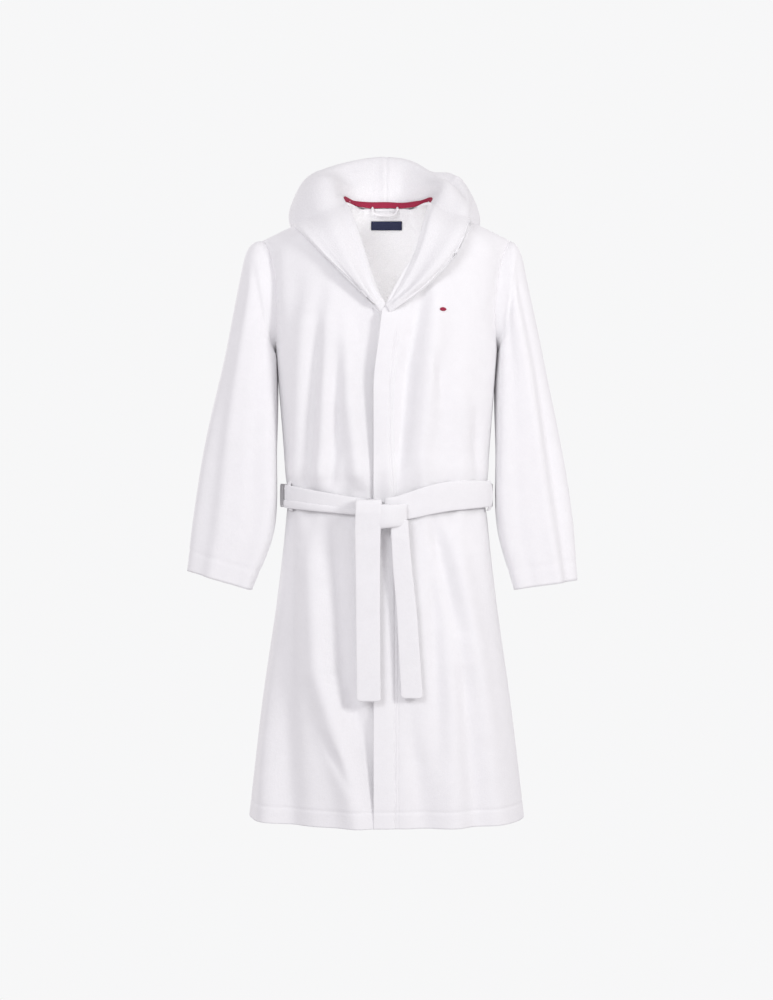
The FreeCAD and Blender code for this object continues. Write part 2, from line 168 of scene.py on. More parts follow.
def closed(p):
    # the grid with its first column again at the end, for tubes
    return np.concatenate([p, p[:, :1]], axis=1)


def thicken(obj, depth, offset=-1.0):
    # turns a sheet into cloth of a given depth
    solid = obj.modifiers.new("thickness", "SOLIDIFY")
    solid.thickness = depth
    solid.offset = offset
    solid.use_rim = True
    return solid


# camera, backdrop and light
view = {"distance": 3.1, "height": -0.577, "lens": 56.5}
cameraData = bpy.data.cameras.new("camera")
cameraData.lens = view["lens"]
cameraData.sensor_width = 36
camera = bpy.data.objects.new("camera", cameraData)
camera.location = (0, -view["distance"], view["height"])
camera.rotation_euler = (math.radians(90), 0, 0)
bpy.context.scene.collection.objects.link(camera)
bpy.context.scene.camera = camera

studio = {"paper": (0.93, 0.93, 0.935, 1), "ambient": 0.615, "air": (1.0, 0.960, 1.0, 1),
          "key": 37.5, "fill": 41.0, "neck": 0.38, "rear": 34.0}


def areaLight(name, place, target, size, power, colour):
    # round soft light at a place, turned to face a target
    data = bpy.data.lights.new(name, "AREA")
    data.shape = "DISK"
    data.size = size
    data.energy = power
    data.color = colour
    lamp = bpy.data.objects.new(name, data)
    lamp.location = place
    aim = np.array(target) - np.array(place)
    flat = math.hypot(aim[0], aim[1])
    lamp.rotation_euler = (math.pi / 2 + math.atan2(aim[2], flat), 0, math.atan2(-aim[0], aim[1]))
    bpy.context.scene.collection.objects.link(lamp)
    return lamp


def buildStudio():
    areaLight("keyLight", (2.3, -2.4, 0.35), (0, -0.1, -0.6), 0.8, studio["key"], (0.99, 0.99, 0.985))
    areaLight("fillLight", (-1.6, -3.4, 0.9), (0, -0.1, -0.6), 1.6, studio["fill"], (0.95, 0.96, 1.0))
    glimmer = bpy.data.lights.new("neckLight", "POINT")
    glimmer.energy = studio["neck"]
    glimmer.shadow_soft_size = 0.035
    glimmer.color = (1.0, 0.985, 0.98)
    neck = bpy.data.objects.new("neckLight", glimmer)
    neck.location = (0, -0.115, -0.150)
    neck.visible_camera = False
    bpy.context.scene.collection.objects.link(neck)
    areaLight("rearLight", (-2.3, 2.6, 0.7), (0, 0, -0.6), 1.2, studio["rear"], (1.0, 0.985, 0.97))
    areaLight("rearFill", (2.4, 2.2, 0.0), (0, 0, -0.6), 1.6, studio["rear"] * 0.3, (0.95, 0.96, 1.0))
    world = bpy.data.worlds.new("studioAir")
    bpy.context.scene.world = world
    world.use_nodes = True
    sky = world.node_tree.nodes["Background"]
    sky.inputs["Color"].default_value = studio["air"]
    sky.inputs["Strength"].default_value = studio["ambient"]
    tree = world.node_tree
    pale = tree.nodes.new("ShaderNodeBackground")
    pale.inputs["Color"].default_value = studio["paper"]
    seen = tree.nodes.new("ShaderNodeLightPath")
    mix = tree.nodes.new("ShaderNodeMixShader")
    tree.links.new(seen.outputs["Is Camera Ray"], mix.inputs[0])
    tree.links.new(sky.outputs[0], mix.inputs[1])
    tree.links.new(pale.outputs[0], mix.inputs[2])
    tree.links.new(mix.outputs[0], tree.nodes["World Output"].inputs["Surface"])
    # pale sweep: a floor that curves up behind, seen evenly bright
    t = np.linspace(0, 1, 40)
    across = np.linspace(-14, 14, 12)
    floorZ = -1.9
    bend = np.clip((t - 0.5) / 0.3, 0, 1) * math.pi / 2
    depth = np.where(t < 0.5, -12 + 32 * t, 4 + 3 * np.sin(bend))
    height = np.where(t < 0.5, floorZ, floorZ + 3 * (1 - np.cos(bend)) + np.clip((t - 0.8) / 0.2, 0, 1) * 12)
    grid = np.zeros((40, 12, 3))
    grid[..., 0] = across[None]
    grid[..., 1] = depth[:, None]
    grid[..., 2] = height[:, None]
    sweep = makeGrid("studioSweep", grid, flip=True)
    paper = bpy.data.materials.new("paperSweep")
    paper.use_nodes = True
    nodes = paper.node_tree.nodes
    nodes.clear()
    glow = nodes.new("ShaderNodeEmission")
    glow.inputs["Color"].default_value = studio["paper"]
    out = nodes.new("ShaderNodeOutputMaterial")
    paper.node_tree.links.new(glow.outputs[0], out.inputs[0])
    sweep.data.materials.append(paper)
    sweep.visible_diffuse = False
    sweep.visible_glossy = False
    sweep.visible_shadow = False
    sweep.visible_transmission = False
    shade = bpy.context.scene.view_settings
    shade.view_transform = "Standard"
    shade.look = "None"


buildStudio()
print("studio ready")


# shader groups and materials
def newGroup(name, ins, outs):
    # node group with named sockets; gives the group, its input node and its output node
    group = bpy.data.node_groups.new(name, "ShaderNodeTree")
    for label, kind, value in ins:
        socket = group.interface.new_socket(name=label, in_out="INPUT", socket_type=kind)
        if value is not None:
            socket.default_value = value
    for label, kind in outs:
        group.interface.new_socket(name=label, in_out="OUTPUT", socket_type=kind)
    start = group.nodes.new("NodeGroupInput")
    end = group.nodes.new("NodeGroupOutput")
    return group, start, end


def node(tree, kind, **values):
    # new node with some of its settings
    made = tree.nodes.new(kind)
    for key, value in values.items():
        setattr(made, key, value)
    return made


def buildNap():
    # sheared pile: fine tufts, a soft lay that wanders, and brushed patches; the colour is darker where the
    # tufts are low, as painted shade, and varies at random with the patches
    group, start, end = newGroup("towelNap", [
        ("Place", "NodeSocketVector", None), ("Tuft", "NodeSocketFloat", 620.0),
        ("Patch", "NodeSocketFloat", 34.0), ("Tint", "NodeSocketColor", (0.9, 0.9, 0.9, 1)),
        ("Depth", "NodeSocketFloat", 0.06)],
        [("Colour", "NodeSocketColor"), ("Height", "NodeSocketFloat"), ("Rough", "NodeSocketFloat")])
    link = group.links.new
    tuft = node(group, "ShaderNodeTexNoise")
    tuft.inputs["Detail"].default_value = 3
    tuft.inputs["Roughness"].default_value = 0.65
    link(start.outputs["Place"], tuft.inputs["Vector"])
    link(start.outputs["Tuft"], tuft.inputs["Scale"])
    patch = node(group, "ShaderNodeTexNoise")
    patch.inputs["Detail"].default_value = 4
    patch.inputs["Roughness"].default_value = 0.55
    patch.inputs["Distortion"].default_value = 0.6
    link(start.outputs["Place"], patch.inputs["Vector"])
    link(start.outputs["Patch"], patch.inputs["Scale"])
    middle = node(group, "ShaderNodeTexNoise")
    middle.inputs["Scale"].default_value = 170
    middle.inputs["Detail"].default_value = 2
    link(start.outputs["Place"], middle.inputs["Vector"])
    mixed = node(group, "ShaderNodeMath", operation="MULTIPLY_ADD")
    link(middle.outputs["Fac"], mixed.inputs[0])
    mixed.inputs[1].default_value = 0.8
    link(tuft.outputs["Fac"], mixed.inputs[2])
    # colour: painted shade where the fine tufts are low, plus random tone from the patches
    tone = node(group, "ShaderNodeMath", operation="MULTIPLY_ADD")
    link(patch.outputs["Fac"], tone.inputs[0])
    tone.inputs[1].default_value = 0.7
    link(tuft.outputs["Fac"], tone.inputs[2])
    spread = node(group, "ShaderNodeMapRange")
    link(tone.outputs[0], spread.inputs["Value"])
    spread.inputs["From Min"].default_value = 0.55
    spread.inputs["From Max"].default_value = 1.15
    dark = node(group, "ShaderNodeMath", operation="SUBTRACT")
    dark.inputs[0].default_value = 1.0
    link(start.outputs["Depth"], dark.inputs[1])
    link(dark.outputs[0], spread.inputs["To Min"])
    spread.inputs["To Max"].default_value = 1.0
    colour = node(group, "ShaderNodeVectorMath", operation="SCALE")
    link(start.outputs["Tint"], colour.inputs[0])
    link(spread.outputs[0], colour.inputs["Scale"])
    link(colour.outputs[0], end.inputs["Colour"])
    link(mixed.outputs[0], end.inputs["Height"])
    rough = node(group, "ShaderNodeMapRange")
    link(patch.outputs["Fac"], rough.inputs["Value"])
    rough.inputs["To Min"].default_value = 0.82
    rough.inputs["To Max"].default_value = 0.98
    link(rough.outputs[0], end.inputs["Rough"])
    return group


def buildLoops():
    # uncut terry loops: small round cells jumbled by noise, darker in the gaps between loops as painted
    # shade
    group, start, end = newGroup("terryLoops", [
        ("Place", "NodeSocketVector", None), ("Loop", "NodeSocketFloat", 420.0),
        ("Tint", "NodeSocketColor", (0.9, 0.9, 0.9, 1)), ("Depth", "NodeSocketFloat", 0.12)],
        [("Colour", "NodeSocketColor"), ("Height", "NodeSocketFloat"), ("Rough", "NodeSocketFloat")])
    link = group.links.new
    wander = node(group, "ShaderNodeTexNoise")
    wander.inputs["Scale"].default_value = 160
    link(start.outputs["Place"], wander.inputs["Vector"])
    push = node(group, "ShaderNodeVectorMath", operation="MULTIPLY_ADD")
    link(wander.outputs["Color"], push.inputs[0])
    push.inputs[1].default_value = (0.004, 0.004, 0.004)
    link(start.outputs["Place"], push.inputs[2])
    cells = node(group, "ShaderNodeTexVoronoi")
    link(push.outputs[0], cells.inputs["Vector"])
    link(start.outputs["Loop"], cells.inputs["Scale"])
    dome = node(group, "ShaderNodeMapRange")
    link(cells.outputs["Distance"], dome.inputs["Value"])
    dome.inputs["From Max"].default_value = 0.75
    dome.inputs["To Min"].default_value = 1.0
    dome.inputs["To Max"].default_value = 0.0
    # painted shade: the colour darkens from each loop's top into the gaps between loops
    dark = node(group, "ShaderNodeMath", operation="SUBTRACT")
    dark.inputs[0].default_value = 1.0
    link(start.outputs["Depth"], dark.inputs[1])
    tone = node(group, "ShaderNodeMapRange")
    link(dome.outputs[0], tone.inputs["Value"])
    link(dark.outputs[0], tone.inputs["To Min"])
    tone.inputs["To Max"].default_value = 1.0
    colour = node(group, "ShaderNodeVectorMath", operation="SCALE")
    link(start.outputs["Tint"], colour.inputs[0])
    link(tone.outputs[0], colour.inputs["Scale"])
    link(colour.outputs[0], end.inputs["Colour"])
    link(dome.outputs[0], end.inputs["Height"])
    rough = node(group, "ShaderNodeMapRange")
    link(dome.outputs[0], rough.inputs["Value"])
    rough.inputs["To Min"].default_value = 0.98
    rough.inputs["To Max"].default_value = 0.85
    link(rough.outputs[0], end.inputs["Rough"])
    return group


napGroup = buildNap()
loopGroup = buildLoops()


def clothMaterial(name, group, tint, values, bump, reach, sheen):
    # pale cloth: the group's colour, roughness and height, with a soft sheen
    made = bpy.data.materials.new(name)
    made.use_nodes = True
    tree = made.node_tree
    shader = tree.nodes["Principled BSDF"]
    place = node(tree, "ShaderNodeTexCoord")
    effect = node(tree, "ShaderNodeGroup")
    effect.node_tree = group
    for key, value in values.items():
        effect.inputs[key].default_value = value
    effect.inputs["Tint"].default_value = (*tint, 1)
    tree.links.new(place.outputs["Object"], effect.inputs["Place"])
    tree.links.new(effect.outputs["Colour"], shader.inputs["Base Color"])
    tree.links.new(effect.outputs["Rough"], shader.inputs["Roughness"])
    raised = node(tree, "ShaderNodeBump")
    raised.inputs["Strength"].default_value = bump
    raised.inputs["Distance"].default_value = reach
    tree.links.new(effect.outputs["Height"], raised.inputs["Height"])
    tree.links.new(raised.outputs["Normal"], shader.inputs["Normal"])
    shader.inputs["Specular IOR Level"].default_value = 0.15
    shader.inputs["Sheen Weight"].default_value = sheen
    shader.inputs["Sheen Roughness"].default_value = 0.45
    shader.inputs["Sheen Tint"].default_value = (1, 1, 1, 1)
    return made


velour = clothMaterial("whiteVelour", napGroup, (0.90, 0.895, 0.905), {"Depth": 0.05}, 0.35, 0.0012, 0.25)
terry = clothMaterial("whiteTerry", loopGroup, (0.90, 0.895, 0.905), {"Depth": 0.06}, 0.45, 0.0013, 0.25)
print("materials ready")


# folds: each is a list of (z, x, half width, height), heights below 0 are valleys
bodiceFolds = {
    "right": [
        [(-0.08, -0.200, 0.016, 0.000), (-0.20, -0.192, 0.018, 0.007), (-0.40, -0.186, 0.02, 0.000)],
        [(-0.15, -0.140, 0.020, 0.000), (-0.25, -0.152, 0.022, 0.009), (-0.41, -0.163, 0.020, 0.008),
         (-0.53, -0.174, 0.014, 0.004), (-0.56, -0.176, 0.014, 0.0)],
        [(-0.16, -0.100, 0.018, 0.000), (-0.25, -0.108, 0.020, 0.009), (-0.40, -0.114, 0.020, 0.009),
         (-0.53, -0.122, 0.014, 0.006), (-0.56, -0.124, 0.014, 0.0)],
        [(-0.19, -0.080, 0.016, 0.000), (-0.28, -0.074, 0.018, 0.007), (-0.40, -0.068, 0.020, 0.010),
         (-0.53, -0.053, 0.016, 0.008), (-0.56, -0.050, 0.014, 0.0)],
        [(-0.22, -0.125, 0.012, 0.000), (-0.30, -0.133, 0.014, -0.007), (-0.42, -0.144, 0.014, -0.007),
         (-0.54, -0.150, 0.012, -0.004), (-0.56, -0.150, 0.012, 0.0)],
        [(-0.28, -0.090, 0.012, 0.000), (-0.36, -0.094, 0.012, -0.006), (-0.45, -0.096, 0.012, -0.008),
         (-0.54, -0.102, 0.012, -0.005), (-0.56, -0.103, 0.012, 0.0)]],
    "left": [
        [(-0.17, 0.075, 0.014, 0.000), (-0.22, 0.062, 0.014, -0.007), (-0.33, 0.040, 0.015, -0.010),
         (-0.49, 0.026, 0.014, -0.009), (-0.56, 0.020, 0.012, -0.002)],
        [(-0.15, 0.100, 0.022, 0.000), (-0.24, 0.090, 0.024, 0.009), (-0.34, 0.080, 0.024, 0.012),
         (-0.50, 0.063, 0.020, 0.008), (-0.56, 0.060, 0.016, 0.0)],
        [(-0.30, 0.092, 0.010, 0.000), (-0.34, 0.097, 0.010, -0.006), (-0.41, 0.100, 0.010, 0.0)],
        [(-0.30, 0.135, 0.022, 0.000), (-0.40, 0.138, 0.022, 0.006), (-0.54, 0.135, 0.018, 0.003),
         (-0.56, 0.135, 0.018, 0.0)],
        [(-0.40, 0.166, 0.010, 0.000), (-0.46, 0.168, 0.009, -0.006), (-0.53, 0.171, 0.009, -0.004),
         (-0.56, 0.171, 0.009, 0.0)]],
}
skirtFolds = {
    "right": [
        [(-0.60, -0.139, 0.018, 0.000), (-0.70, -0.139, 0.024, 0.008), (-0.90, -0.126, 0.026, 0.013),
         (-1.05, -0.080, 0.026, 0.014), (-1.16, -0.056, 0.028, 0.014), (-1.19, -0.052, 0.030, 0.014)],
        [(-0.60, -0.180, 0.014, 0.000), (-0.72, -0.184, 0.018, -0.007), (-0.95, -0.190, 0.022, -0.009),
         (-1.19, -0.180, 0.030, -0.010)],
        [(-0.60, -0.098, 0.014, 0.000), (-0.68, -0.096, 0.018, -0.008), (-0.90, -0.082, 0.020, -0.009),
         (-1.02, -0.040, 0.020, -0.006), (-1.19, 0.0, 0.02, 0.0)],
        [(-1.00, -0.118, 0.010, 0.000), (-1.05, -0.096, 0.010, -0.006), (-1.12, -0.064, 0.010, 0.0)],
        [(-0.75, -0.225, 0.016, 0.000), (-1.00, -0.232, 0.020, 0.006), (-1.19, -0.226, 0.024, 0.010)]],
    "left": [
        [(-0.60, 0.088, 0.012, 0.000), (-0.66, 0.098, 0.014, -0.009), (-0.82, 0.135, 0.016, -0.006),
         (-0.88, 0.140, 0.016, 0.0)],
        [(-0.62, 0.125, 0.018, 0.000), (-0.70, 0.135, 0.022, 0.009), (-0.90, 0.170, 0.026, 0.010),
         (-1.19, 0.205, 0.034, 0.010)],
        [(-0.68, 0.080, 0.012, 0.000), (-0.78, 0.088, 0.014, -0.006), (-0.94, 0.096, 0.016, -0.006),
         (-1.05, 0.100, 0.018, -0.002), (-1.10, 0.1, 0.02, 0.0)],
        [(-0.84, 0.140, 0.014, 0.000), (-0.92, 0.147, 0.016, -0.007), (-1.10, 0.162, 0.020, -0.007),
         (-1.19, 0.168, 0.022, -0.006)],
        [(-0.90, 0.040, 0.016, 0.000), (-1.00, 0.045, 0.018, -0.004), (-1.06, 0.055, 0.020, -0.007),
         (-1.19, 0.070, 0.024, -0.006)],
        [(-0.80, 0.110, 0.020, 0.000), (-0.95, 0.118, 0.024, 0.007), (-1.19, 0.125, 0.030, 0.010)]],
}


gather = {"foldGain": 1.35, "spread": 0.055, "frontBlouse": 0.005, "backBlouse": 0.006, "pinch": 0.004}
hem = {"up": 0.030, "width": 0.0026, "depth": 0.0011}     # stitching above the hem
placket = {
    "lift": 0.011,            # the free edge stands off this far
    "width": 0.030,           # from the free edge to its seam
    "flare": 0.010,           # extra width of it below the belt
    "seamDepth": 0.0022,
    "stitchOff": 0.0055,      # second row of stitches
    "stitchDepth": 0.0012,
    "buried": 0.013,          # how far in the covered edge lies
}


def bell(distance, width):
    # smooth bump of height 1: exp(-(distance / width)^2)
    return np.exp(-(distance / width)**2)


def foldHeight(lists, x, z):
    # sum of soft ridges: each a bell across x whose middle, width and height ease along z
    total = np.zeros_like(x)
    for fold in lists:
        rows = np.array(fold)
        key = -rows[:, 0]
        t = -z
        middle = np.interp(t, key, rows[:, 1])
        width = np.interp(t, key, rows[:, 2])
        size = np.interp(t, key, rows[:, 3])
        total += size * bell(x - middle, width)
    return total


def neckX(z):
    # half width of the neck opening, from the neck down to the crossing
    t = np.clip(z / robe["veeZ"], 0, 1)
    return robe["neckHalf"] + (0.004 - robe["neckHalf"]) * t**0.9


def overEdge(z):
    # x of the over front's free edge: the neckline, then nearly straight down
    low = robe["overEdgeX"] + (robe["veeX"] - robe["overEdgeX"]) * ease((z - robe["veeZ"] + 0.15) / 0.15)
    return np.where(z > robe["veeZ"], neckX(z) + robe["veeX"] * ease(z / robe["veeZ"]), low)


def underEdge(z):
    # x of the under front's free edge, which slants away below the over front
    low = robe["veeX"] + (robe["underEdgeX"] - robe["veeX"]) * ease((robe["veeZ"] - z) / 0.3)
    return np.where(z > robe["veeZ"], -neckX(z) + robe["veeX"] * ease(z / robe["veeZ"]), low)


def frontGrid(sign, rows, cols):
    # one front from hem to shoulder: columns run from the side seam to the free edge on the
    # torso's oval, rows rise level by level and then round over the shoulder
    v, u = np.meshgrid(np.linspace(0, 1, rows), np.linspace(0, 1, cols), indexing="ij")
    u = np.interp(u, (0, 0.68, 1), (0, 0.85, 1))          # closer together by the free edge
    v = np.interp(v, (0, 0.06, 1), (0, 0.035, 1))         # and by the hem
    off = robe["over"] * ease(u * 3) if sign > 0 else 0 * u
    xTop = sign * (robe["shoulderHalf"] + (robe["neckHalf"] - robe["shoulderHalf"]) * u)
    ridgeZ = shoulderZ(xTop) - robe["ridge"]
    split = 0.90
    tau = np.clip((v - split) / (1 - split), 0, 1) * math.pi / 2
    z = np.where(v < split, robe["hemZ"] + (ridgeZ - robe["hemZ"]) * v / split,
                 ridgeZ + robe["ridge"] * np.sin(tau))
    closing = np.cos(tau)
    free = ease((z - robe["underarmZ"]) / 0.05)
    side = sign * (halfWidth(z) + off) * (0.99999 - 0.035 * free)
    edge = overEdge(z) if sign > 0 else underEdge(z)
    first = angleOf(side, z, off)
    last = angleOf(edge, z, off)
    x = xOf(first + (last - first) * u, z, off)
    rise = ease((z - robe["underarmZ"]) / (shoulderZ(xTop) - robe["underarmZ"]))
    x = x + (xTop - x) * rise**2
    y = robe["centreY"] + ovalY(x, z, off, -1) * closing
    p = np.stack([x, y, z], axis=-1)
    n, flip = outward(p, np.array([0, -1, 0]))
    name = "left" if sign > 0 else "right"
    lift = foldHeight(bodiceFolds[name] + skirtFolds[name], x, z)
    fade = ease((-z - 0.06) / 0.05) * (1 - ease((np.abs(x) - 0.9 * halfWidth(z)) / 0.03))
    lift = lift * fade * gather["foldGain"]
    # gathers under the belt and a slight blouse above it
    wave = np.sin(x * 105 + 0.6 * np.sin(x * 37)) * 0.0022 + np.sin(x * 190 + 1.0) * 0.0009
    lift += wave * bell(z - robe["waistZ"], gather["spread"]) * fade
    lift += gather["frontBlouse"] * bell(z - robe["waistZ"] - 0.052, 0.030) * fade
    lift -= gather["pinch"] * bell(z - robe["waistZ"], 0.020)
    lift -= hem["depth"] * bell(z - robe["hemZ"] - hem["up"], hem["width"])
    if sign > 0:
        # the free edge stands off near the crossing, and two seams run down beside it
        near = bell(x - edge, 0.035)
        lift += placket["lift"] * near * ease((robe["veeZ"] + 0.01 - z) / 0.03) * ease((z + 0.56) / 0.25)
        seam = edge + placket["width"] + placket["flare"] * ease((-z - 0.45) / 0.2)
        below = ease((robe["veeZ"] - 0.02 - z) / 0.04)
        lift -= placket["seamDepth"] * bell(x - seam, 0.0015) * below
        lift -= placket["stitchDepth"] * bell(x - seam - placket["stitchOff"], 0.0013) * below
    else:
        # what the other front covers lies further in
        hidden = ease((x - overEdge(z) - 0.004) / 0.025) * ease((robe["veeZ"] - 0.012 - z) / 0.04)
        lift -= placket["buried"] * hidden
    return p + n * lift[..., None], flip


def backGrid(rows, cols):
    # the back from hem to shoulders and neck, made the same way
    v, u = np.meshgrid(np.linspace(0, 1, rows), np.linspace(0, 1, cols), indexing="ij")
    v = np.interp(v, (0, 0.06, 1), (0, 0.035, 1))
    xTop = robe["shoulderHalf"] * (1 - 2 * u)
    onShoulder = ease((np.abs(xTop) - 0.045) / 0.035)
    ridgeZ = shoulderZ(xTop) - robe["ridge"]
    split = 0.90
    tau = np.clip((v - split) / (1 - split), 0, 1) * math.pi / 2
    z = np.where(v < split, robe["hemZ"] + (ridgeZ - robe["hemZ"]) * v / split,
                 ridgeZ + robe["ridge"] * np.sin(tau))
    closing = 1 - onShoulder * (1 - np.cos(tau))
    free = ease((z - robe["underarmZ"]) / 0.05)
    side = halfWidth(z) * (0.99999 - 0.035 * free)
    first = angleOf(side, z, 0)
    x = xOf(first + (math.pi - 2 * first) * u, z, 0)
    rise = ease((z - robe["underarmZ"]) / (shoulderZ(xTop) - robe["underarmZ"]))
    x = x + (xTop - x) * rise**2
    y = robe["centreY"] + ovalY(x, z, 0, 1) * closing
    p = np.stack([x, y, z], axis=-1)
    n, flip = outward(p, np.array([0, 1, 0]))
    fade = ease((-z - 0.10) / 0.10) * (1 - ease((np.abs(x) - 0.88 * halfWidth(z)) / 0.03))
    skirt = ease((-z - 0.60) / 0.30)
    lift = skirt * (0.013 * np.cos(x * 34 + 0.4) + 0.006 * np.cos(x * 61 - 1.1 + z * 2))
    above = ease((-z - 0.22) / 0.2) * ease((z + 0.60) / 0.08)
    lift += above * (0.009 * np.cos(x * 44 - 0.5 + 1.5 * z) + 0.004 * np.cos(x * 83 + z * 4))
    lift += 0.0025 * np.sin(x * 120) * bell(z - robe["waistZ"], gather["spread"])
    lift += gather["backBlouse"] * bell(z - robe["waistZ"] - 0.057, 0.035)
    lift -= gather["pinch"] * bell(z - robe["waistZ"], 0.020)
    lift = lift * fade - hem["depth"] * bell(z - robe["hemZ"] - hem["up"], hem["width"])
    return p + n * lift[..., None], flip


def buildBody():
    # both fronts and the back, each a grid turned into cloth with its looped side inwards
    under, flip = frontGrid(-1, 300, 130)
    rightFront = makeGrid("rightFront", under, flip)
    over, flip = frontGrid(1, 300, 160)
    leftFront = makeGrid("leftFront", over, flip)
    rear, flip = backGrid(260, 170)
    backPiece = makeGrid("backPiece", rear, flip)
    for piece in (rightFront, leftFront, backPiece):
        piece.data.materials.append(velour)
        piece.data.materials.append(terry)
        solid = thicken(piece, robe["cloth"])
        solid.material_offset = 1
    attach(rightFront, "robe_body")
    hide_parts("right_front_bodice", "right_front_skirt", "right_front_band", "right_front_hem")
    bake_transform(leftFront)
    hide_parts("left_front_bodice", "left_front_skirt_side", "left_front_skirt_corner",
                "left_front_band_upper", "left_front_band_lower", "left_front_hem_side",
                "left_front_hem_corner")
    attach(backPiece, "robe_body")
    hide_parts("back_panel", "back_hem")
    return over, rear


overNet, backNet = buildBody()
print("body cut and folded")

# sleeves: outer edge x, z, inner edge x, z, half depth, middle y; x is from the middle
sleeveCuts = {
    "right": [(0.205, -0.100, 0.185, -0.270, 0.044, -0.070), (0.243, -0.078, 0.213, -0.292, 0.056, -0.070),
              (0.265, -0.098, 0.214, -0.304, 0.061, -0.070), (0.281, -0.165, 0.213, -0.322, 0.064, -0.071),
              (0.306, -0.290, 0.211, -0.360, 0.065, -0.073), (0.340, -0.450, 0.209, -0.472, 0.064, -0.076),
              (0.366, -0.610, 0.212, -0.630, 0.061, -0.080), (0.378, -0.712, 0.255, -0.748, 0.055, -0.086)],
    "left": [(0.205, -0.100, 0.185, -0.270, 0.044, -0.070), (0.241, -0.080, 0.213, -0.292, 0.056, -0.070),
             (0.256, -0.104, 0.214, -0.304, 0.061, -0.070), (0.271, -0.170, 0.213, -0.322, 0.064, -0.071),
             (0.297, -0.290, 0.210, -0.360, 0.065, -0.073), (0.327, -0.450, 0.208, -0.472, 0.064, -0.076),
             (0.352, -0.600, 0.209, -0.624, 0.061, -0.080), (0.364, -0.730, 0.242, -0.746, 0.055, -0.086)],
}


# lengthwise folds of each sleeve: angle round the arm (0 outside, quarter turn in front), height, drift
sleeveFolds = {
    "right": [(1.15, 0.006, 0.05), (1.9, -0.006, 0.04), (2.5, 0.007, -0.05), (0.4, 0.004, 0.0),
              (-1.2, 0.006, 0.06), (-2.1, -0.005, 0.0)],
    "left": [(1.35, 0.007, -0.05), (0.85, -0.008, -0.04), (2.3, 0.006, 0.05), (1.9, -0.005, 0.03),
             (-1.2, 0.006, 0.06), (-2.1, -0.005, 0.0)],
}


def alongRows(values, t):
    # Catmull-Rom through equally spaced rows of numbers
    values = np.array(values)
    padded = np.concatenate([2 * values[:1] - values[1:2], values, 2 * values[-1:] - values[-2:-1]])
    i = np.clip(np.floor(t).astype(int), 0, len(values) - 2)
    s = (t - i)[..., None]
    a, b, c, d = padded[i], padded[i + 1], padded[i + 2], padded[i + 3]
    return 0.5 * (2*b + (c - a)*s + (2*a - 5*b + 4*c - d)*s**2 + (3*b - a - 3*c + d)*s**3)


sleeve = {
    "rows": 170, "columns": 96,
    "square": 0.92,           # exponent of the section, 1 is an ellipse
    "hemUp": 0.038,           # stitching of the cuff's hem above its edge
    "stitchDepth": 0.0011,
    "blendEnd": 0.115,        # length over which a sleeve bends at the shoulder
}


def buildSleeve(sign):
    # ellipses across the arm between the outer and inner edges, with ridges along it
    name = "left" if sign > 0 else "right"
    rows, cols = sleeve["rows"], sleeve["columns"]
    t = np.linspace(0, 7, rows)
    cut = alongRows(sleeveCuts[name], t)
    angle = np.linspace(0, 2 * math.pi, cols, endpoint=False)
    outer = np.stack([sign * cut[:, 0], cut[:, 5], cut[:, 1]], axis=-1)
    inner = np.stack([sign * cut[:, 2], cut[:, 5], cut[:, 3]], axis=-1)
    middle = (outer + inner) / 2
    half = (outer - inner) / 2
    c = np.sign(np.cos(angle)) * np.abs(np.cos(angle))**sleeve["square"]
    s = np.sign(np.sin(angle)) * np.abs(np.sin(angle))**sleeve["square"]
    p = middle[:, None] + half[:, None] * c[None, :, None]
    p[..., 1] -= cut[:, 4][:, None] * s[None]
    n, flip = outward(closed(p), closed(p - middle[:, None]))
    n = n[:, :-1]
    tt = t[:, None]
    a = angle[None]
    body = ease((tt - 1.3) / 0.8)
    low = ease((tt - 4.0) / 1.5)
    lift = 0.0035 * np.cos(2 * a - 0.6 + 0.35 * tt) * body
    lift += 0.0045 * low * np.cos(3 * a + 1.0 - 0.25 * tt)
    for at, size, swirl in sleeveFolds[name]:
        # a lengthwise ridge or valley that wanders round the arm as it runs down
        away = a - at - swirl * (tt - 4)
        turn = np.arctan2(np.sin(away), np.cos(away))
        lift += size * bell(turn, 0.24) * ease((tt - 1.6) / 1.2) * (0.6 + 0.4 * low)
    rest = np.linalg.norm(p - p[-1:], axis=2)
    lift -= sleeve["stitchDepth"] * bell(rest - sleeve["hemUp"], 0.0028)
    p = p + n * lift[..., None]
    tube = makeGrid(name + "Sleeve", p, flip, wrap=True)
    tube.data.materials.append(velour)
    tube.data.materials.append(terry)
    solid = thicken(tube, robe["cloth"])
    solid.material_offset = 1
    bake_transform(tube)
    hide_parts(name + "_sleeve", name + "_sleeve_hem")


buildSleeve(1)
buildSleeve(-1)
print("sleeves set in")

